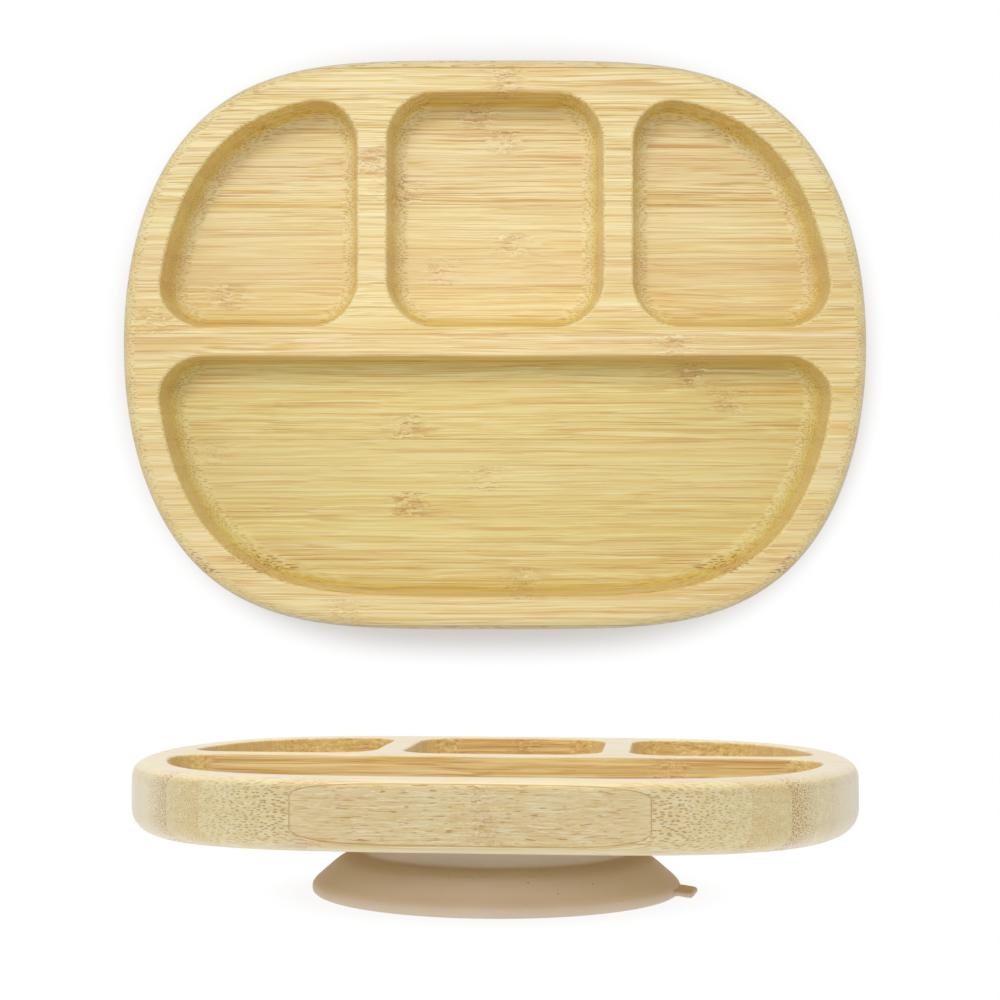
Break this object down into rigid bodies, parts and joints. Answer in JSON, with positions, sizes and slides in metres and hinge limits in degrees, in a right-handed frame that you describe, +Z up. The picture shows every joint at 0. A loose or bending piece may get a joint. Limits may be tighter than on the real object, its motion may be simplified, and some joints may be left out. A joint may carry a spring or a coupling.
{
  "type": "suction plate",
  "caption": "Divided wooden plate for a toddler, laminated from bamboo strips and milled with food compartments, on a soft silicone suction base with a pull tab.",
  "frame": {"origin": "on the table under the plate's centre, which is also the suction base's axis", "axes": "+Z up, +X along the plate's length, towards the side with the pull tab, +Y towards the small compartments"},
  "size_m": [0.22, 0.1686, 0.0412],
  "materials": {
    "bamboo_light": "pale bamboo strip, satin food-safe oil",
    "bamboo_mid": "slightly darker bamboo strip, satin food-safe oil",
    "silicone_beige": "matte beige food-grade silicone"
  },
  "bodies": {
    "lip": {"suction_lip": "silicone_beige"},
    "cup": {"suction_collar": "silicone_beige", "suction_skirt": "silicone_beige"},
    "plate": {"bamboo_strip_01": "bamboo_light", "bamboo_strip_02": "bamboo_mid", "bamboo_strip_03": "bamboo_light", "bamboo_strip_04": "bamboo_mid", "bamboo_strip_05": "bamboo_light", "bamboo_strip_06": "bamboo_mid", "bamboo_strip_07": "bamboo_light", "bamboo_strip_08": "bamboo_mid", "bamboo_strip_09": "bamboo_light", "bamboo_strip_10": "bamboo_mid", "bamboo_strip_11": "bamboo_light", "bamboo_strip_12": "bamboo_mid", "bamboo_strip_13": "bamboo_light", "bamboo_strip_14": "bamboo_mid", "bamboo_strip_15": "bamboo_light", "bamboo_strip_16": "bamboo_mid", "bamboo_strip_17": "bamboo_light", "bamboo_strip_18": "bamboo_mid", "bamboo_strip_19": "bamboo_light", "bamboo_strip_20": "bamboo_mid", "bamboo_strip_21": "bamboo_light", "bamboo_strip_22": "bamboo_mid", "bamboo_strip_23": "bamboo_light"},
    "tab": {"pull_tab": "silicone_beige"}
  },
  "joints": [
    {"name": "suction_press", "type": "slide", "parent": "lip", "child": "cup", "axis": [0, 0, -1], "range_m": [0, 0.006], "stiffness_N_per_m": 1500, "springref_m": -0.002, "deforming": ["suction_skirt"]},
    {"name": "plate_release", "type": "slide", "parent": "cup", "child": "plate", "axis": [0, 0, 1], "range_m": [0, 0.03]},
    {"name": "tab_lift", "type": "hinge", "parent": "lip", "child": "tab", "pos_m": [0.05694, -0.008, 0.00175], "axis": [-0.1392, -0.9903, 0], "range_deg": [0, 60]}
  ]
}
